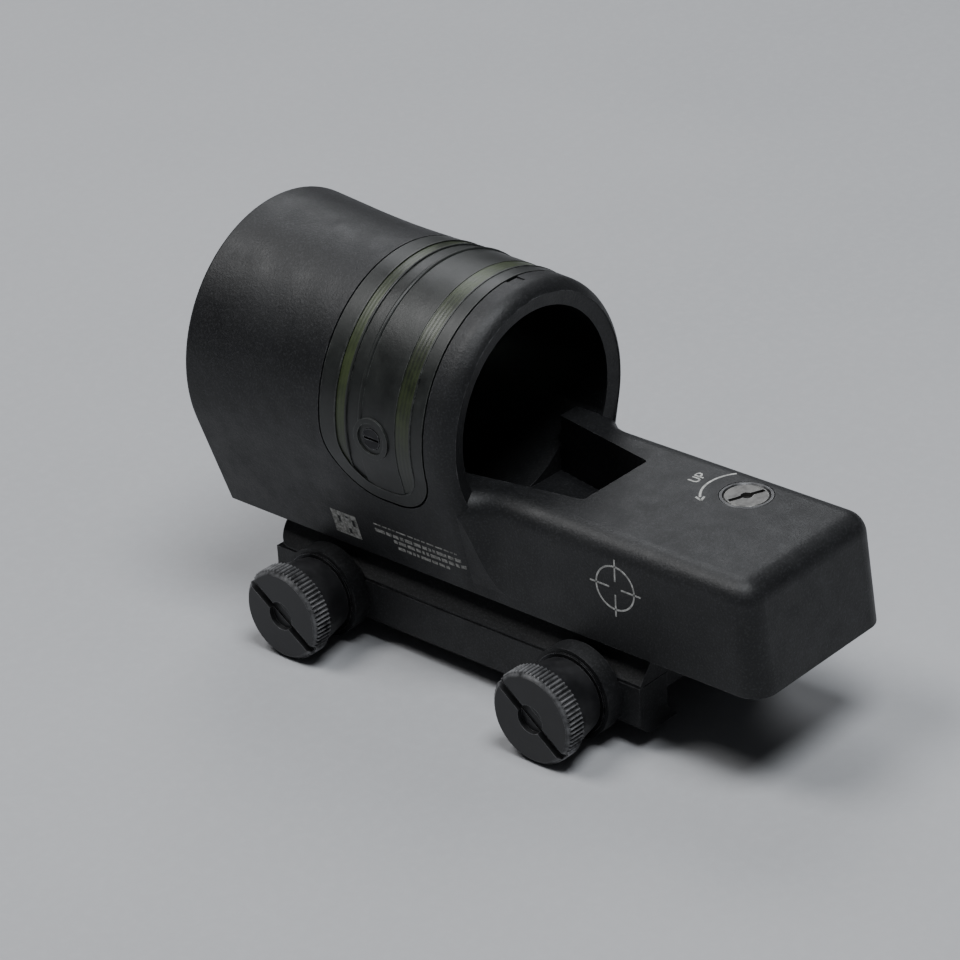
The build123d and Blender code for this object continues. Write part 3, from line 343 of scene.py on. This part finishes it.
def floor_paint():
    """Plain pale studio floor with a fine grain."""
    g = Graph("floor_paint")
    soft = g.noise(3.0, 5, 0.6)
    fine = g.noise(420, 6, 0.7)
    colour = g.mix(g.ramp(soft, 0.3, 0.7), (0.40, 0.405, 0.42), (0.46, 0.465, 0.48))
    colour = g.mix(g.math("MULTIPLY", g.ramp(fine, 0.45, 0.7), 0.25), colour, (0.52, 0.525, 0.54))
    g.set(Base_Color=colour, Roughness=g.ramp(fine, 0.3, 0.7, 0.72, 0.85))
    g.set(Normal=g.bump(fine, 0.35, 0.2 * MM))
    return g.material


body_black = anodised("body_black", (0.0080, 0.0083, 0.0090), (0.0135, 0.0139, 0.0150), 0.47, 0.75, True)
base_black = anodised("base_black", (0.0060, 0.0062, 0.0068), (0.0105, 0.0108, 0.0115), 0.5, 0.5)
inner_black = anodised("inner_black", (0.005, 0.005, 0.005), (0.008, 0.008, 0.008), 0.6, 0.2)
skin = cover_skin()
strip = window_strip()
green = fibre("green_fibre")
oxide = steel("oxide_steel", (0.014, 0.014, 0.0155), (0.034, 0.034, 0.036), 0.38, 0.9)
bushing = steel("bushing_steel", (0.050, 0.050, 0.052), (0.12, 0.12, 0.122), 0.36, 1.0)
screw_oxide = steel("screw_oxide", (0.085, 0.083, 0.080), (0.20, 0.197, 0.19), 0.38, 1.0)
bright = steel("bright_steel", (0.42, 0.42, 0.43), (0.56, 0.56, 0.57), 0.28, 0.3, 1.0)
knob = knob_metal()
seal = rubber()
machined = alloy("machined_alloy", (0.60, 0.60, 0.62), (0.74, 0.74, 0.76), 0.34)
brass = alloy("turned_brass", (0.56, 0.38, 0.14), (0.72, 0.52, 0.22), 0.3)
lens = glass("lens_glass", (0.80, 0.86, 0.84), (0.75, 0.55, 0.95))
lamp = glass("lamp_glass", (0.60, 0.85, 0.52), (1.0, 1.0, 1.0))

FINISHES = {
    body_black: ("housing",),
    base_black: ("mount_base", "clamp_bar", "tail_cover"),
    inner_black: ("lens_retaining_ring", "lamp_sleeve", "reticle_mask"),
    skin: ("fibre_cover",),
    strip: ("fibre_windows",),
    green: ("fibre_coil", "fibre_lead"),
    oxide: (
        "cover_screws", "elevation_clip", "windage_clip", "clamp_clips", "clamp_washers",
        "tail_cover_screws", "base_screws",
    ),
    bushing: ("elevation_bushing", "windage_bushing"),
    screw_oxide: ("elevation_screw", "windage_screw"),
    bright: ("base_dowels", "guide_pins", "elevation_springs", "clamp_inserts"),
    knob: ("thumb_screw_front", "thumb_screw_rear"),
    seal: ("lens_gasket", "window_seal", "elevation_seal", "windage_seal", "tail_gasket"),
    machined: ("elevation_slide", "windage_slide"),
    brass: ("windage_nut", "fibre_ferrule"),
    lens: ("lens_rear_element", "lens_front_element", "window_glass"),
    lamp: ("tritium_lamp",),
}
for finish, names in FINISHES.items():
    for name in names:
        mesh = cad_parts[name].data
        mesh.materials.clear()
        mesh.materials.append(finish)


# ---- mesh pieces, with sizes in millimetres ----
PAINT = 0.03


def piece(name, bm, material, body):
    """A finished mesh piece that rides on a body and takes one material."""
    mesh = bpy.data.meshes.new(name)
    bm.to_mesh(mesh)
    bm.free()
    made = bpy.data.objects.new(name, mesh)
    bpy.context.scene.collection.objects.link(made)
    mesh.materials.append(material)
    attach(made, body)
    return made


def ribbon(bm, points, width, normal, thickness):
    """A thin raised line along points, in millimetres, lying on a surface with that normal."""
    up = Vector(normal).normalized()
    rows = []
    for i, point in enumerate(points):
        here = Vector(point)
        before = Vector(points[max(i - 1, 0)])
        after = Vector(points[min(i + 1, len(points) - 1)])
        across = (after - before).cross(up).normalized() * width / 2
        corners = (here - across, here + across)
        rows.append([bm.verts.new(c * MM) for c in corners]
                    + [bm.verts.new((c + up * thickness) * MM) for c in reversed(corners)])
    for a, b in zip(rows, rows[1:]):
        for i in range(4):
            bm.faces.new((a[i], a[(i + 1) % 4], b[(i + 1) % 4], b[i]))
    bm.faces.new(reversed(rows[0]))
    bm.faces.new(rows[-1])


def arc_points(centre, radius, start, end, steps, z):
    """Points on an arc at one height, with the angles in degrees."""
    angles = [radians(start + (end - start) * i / steps) for i in range(steps + 1)]
    return [(centre[0] + radius * cos(a), centre[1] + radius * sin(a), z) for a in angles]


def adjuster_mark():
    """The printed turning arrow beside the adjuster, with the generic word for its direction."""
    bm = bmesh.new()
    up = (0, 0, 1)
    z = TAIL_TOP
    line, letter_line = 0.42, 0.36
    arrow_radius = 8.1
    arc_start, arc_end, barb_angle, tip_angle = 50, 132, 131, 141
    ribbon(bm, arc_points(ADJUSTER, arrow_radius, arc_start, arc_end, 24, z), line, up, PAINT)
    tip = arc_points(ADJUSTER, arrow_radius, tip_angle, tip_angle, 1, z)[0]
    for radius in (7.35, 8.85):
        barb = arc_points(ADJUSTER, radius, barb_angle, barb_angle, 1, z)[0]
        ribbon(bm, [barb, tip], line, up, PAINT)
    # the strokes of the two letters, from the word's lower left corner
    strokes = (
        ((0, 1.9), (0, 0.6), (0.2, 0.15), (0.65, 0), (1.1, 0.15), (1.3, 0.6), (1.3, 1.9)),
        ((1.95, 0), (1.95, 1.9), (2.65, 1.9), (3.0, 1.65), (3.0, 1.15), (2.65, 0.9), (1.95, 0.9)),
    )
    for stroke in strokes:
        ribbon(bm, [(WORD_AT[0] + x, WORD_AT[1] + y, z) for x, y in stroke], letter_line, up, PAINT)
    return piece("adjuster_marking", bm, marks, "sight")


def side_mark():
    """A plain ring and cross, a generic sighting symbol, printed on the tail's left side."""
    bm = bmesh.new()
    out = (-1, 0, 0)
    x = -HALF_WIDTH
    centre_y, centre_z = SIDE_MARK
    line = 0.32
    ring_radius, arm_inner, arm_outer = 4.2, 1.3, 5.6
    steps = 48
    turns = [2 * pi * i / steps for i in range(steps + 1)]
    ring = [(x, centre_y + ring_radius * cos(a), centre_z + ring_radius * sin(a)) for a in turns]
    ribbon(bm, ring, line, out, PAINT)
    for dy, dz in ((1, 0), (-1, 0), (0, 1), (0, -1)):
        arm = [(x, centre_y + far * dy, centre_z + far * dz) for far in (arm_inner, arm_outer)]
        ribbon(bm, arm, line, out, PAINT)
    return piece("side_marking", bm, marks, "sight")


def on_flank(y, z):
    """Point and outward normal of the housing's left side at a station and height, in millimetres."""
    place, normal, _, _ = flank.ray_cast(Vector((-40, y, z)) * MM, Vector((1, 0, 0)))
    return place / MM, normal


def bar(bm, back, front, z, height):
    """A short painted bar along the left flank."""
    here, normal = on_flank((back + front) / 2, z)
    ends = [on_flank(y, z)[0] for y in (back, front)]
    ribbon(bm, ends, height, normal, 0.04)


def data_mark():
    """A plain framed block and four rows of short bars, which say nothing, on the left flank."""
    bm = bmesh.new()
    back, front, low, high = PATCH
    rail = 0.6
    for z in (low + rail / 2, high - rail / 2):
        bar(bm, back, front, z, rail)
    columns, rows, filled = 9, 6, 0.96
    cell = (front - back) / columns
    step = (high - low - rail) / rows
    for row in range(rows):
        z = low + rail + step * (row + 0.1)
        for column in range(columns):
            if column in (0, columns - 1) or (column * 3 + row * row * 2 + column * row) % 5 < 4:
                y = back + cell * column
                bar(bm, y, y + cell * filled, z, step * filled)
    # bars of uneven length with a gap between them, like words
    lengths = (1.7, 0.8, 1.3, 2.3, 0.6, 1.1)
    gap = 0.38
    count = 0
    for start, end, z, height in TEXT_ROWS:
        y = start
        while y > end + 0.5:
            size = min(lengths[(count * 5 + count // 3) % len(lengths)], y - end)
            bar(bm, y - size, y, z, height)
            y -= size + gap
            count += 1
    return piece("flank_marking", bm, faint_marks, "sight")


def coil_springs():
    """The coil springs under the elevation slide, as wound wire in place of the plain CAD part."""
    low, high = (Vector(corner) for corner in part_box("elevation_springs"))
    wire = 0.28 * MM
    turns, steps, sides = 3.5, 84, 10
    outer = (high.x - low.x) / 2
    up = Vector((0, 0, 1))
    bm = bmesh.new()
    for y in (low.y + outer, high.y - outer):
        rings = []
        for step in range(steps + 1):
            share = step / steps
            angle = 2 * pi * turns * share
            out = Vector((cos(angle), sin(angle), 0))
            level = low.z + wire + (high.z - low.z - 2 * wire) * share
            centre = Vector((low.x + outer, y, level)) + out * (outer - wire)
            turn = [2 * pi * side / sides for side in range(sides)]
            rings.append([bm.verts.new(centre + (out * cos(t) + up * sin(t)) * wire) for t in turn])
        for one, other in zip(rings, rings[1:]):
            for side in range(sides):
                bm.faces.new((one[side], one[side - 1], other[side - 1], other[side])).smooth = True
        bm.faces.new(rings[0])
        bm.faces.new(rings[-1][::-1])
    bmesh.ops.recalc_face_normals(bm, faces=bm.faces)
    mesh = bpy.data.meshes.new("spring_coils")
    bm.to_mesh(mesh)
    bm.free()
    mesh.materials.append(bright)
    coils = bpy.data.objects.new("spring_coils", mesh)
    bpy.context.scene.collection.objects.link(coils)
    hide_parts("elevation_springs")
    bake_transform(coils)
    return coils


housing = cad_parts["housing"]
housing_points = [housing.matrix_world @ vertex.co for vertex in housing.data.vertices]
flank = BVHTree.FromPolygons(housing_points, [tuple(face.vertices) for face in housing.data.polygons])
marks = marking_paint("marking_paint", (0.26, 0.26, 0.25), (0.55, 0.55, 0.53))
faint_marks = marking_paint("faint_paint", (0.12, 0.12, 0.11), (0.42, 0.415, 0.39))
# the word's lower left corner in x and y, and the ring's middle in y and z
WORD_AT = (7.7, -35.5)
SIDE_MARK = (-38.0, 21.6)
# the framed block's rear, front, low and high edges
PATCH = (21.4, 27.7, 12.0, 17.3)
# each row's front end, rear end, height above the rail seat and letter height
TEXT_ROWS = (
    (16.8, -4.0, 17.6, 0.3),
    (16.8, -4.2, 16.2, 0.75),
    (12.6, -4.4, 14.9, 0.75),
    (12.0, -1.2, 13.5, 0.65),
)
adjuster_mark()
side_mark()
data_mark()
coil_springs()

# ---- floor, light and camera ----
floor_mesh = bpy.data.meshes.new("floor")
bm = bmesh.new()
reach = 3.0
bmesh.ops.create_grid(bm, x_segments=8, y_segments=8, size=reach)
bm.to_mesh(floor_mesh)
bm.free()
floor = bpy.data.objects.new("floor", floor_mesh)
floor.location.z = FLOOR_Z * MM
bpy.context.scene.collection.objects.link(floor)
floor_mesh.materials.append(floor_paint())


def area_light(name, place, aim, size, power, colour=(1, 1, 1)):
    """A round soft light at a place, turned towards a point, with its size in metres and power in watts."""
    data = bpy.data.lights.new(name, "AREA")
    data.shape = "DISK"
    data.size = size
    data.energy = power
    data.color = colour
    made = bpy.data.objects.new(name, data)
    bpy.context.scene.collection.objects.link(made)
    made.location = place
    made.rotation_euler = (Vector(aim) - Vector(place)).to_track_quat("-Z", "Y").to_euler()
    return made


middle = (0.0, 0.0, 0.025)
area_light("key", (-0.32, 0.45, 1.05), middle, 0.5, 7.0)
area_light("back", (0.60, 0.55, 0.85), middle, 0.6, 4.0, (0.95, 0.97, 1.0))
area_light("top", (-0.10, -0.30, 1.15), middle, 0.55, 10.0, (0.94, 0.97, 1.0))

world = bpy.data.worlds.new("studio")
bpy.context.scene.world = world
world.use_nodes = True
background = world.node_tree.nodes["Background"]
background.inputs["Color"].default_value = (0.60, 0.63, 0.68, 1.0)
background.inputs["Strength"].default_value = 0.08

# The camera: direction it looks back along, and its small roll.
CAMERA_AT = (-0.4339, -0.3926, 0.3335)
BACK = Vector((-0.6484, -0.6001, 0.4684))
ROLL = radians(-3.22)
level_right = Vector((0.6792, -0.7339, 0.0))
level_up = BACK.cross(level_right)
right = level_right * cos(ROLL) + level_up * sin(ROLL)
up = level_up * cos(ROLL) - level_right * sin(ROLL)
camera_data = bpy.data.cameras.new("camera")
camera_data.sensor_width = 36.0
camera_data.lens = 137.5
camera_data.clip_end = 20.0
camera = bpy.data.objects.new("camera", camera_data)
bpy.context.scene.collection.objects.link(camera)
camera.matrix_world = Matrix((
    (right.x, up.x, BACK.x, CAMERA_AT[0]),
    (right.y, up.y, BACK.y, CAMERA_AT[1]),
    (right.z, up.z, BACK.z, CAMERA_AT[2]),
    (0, 0, 0, 1),
))
bpy.context.scene.camera = camera
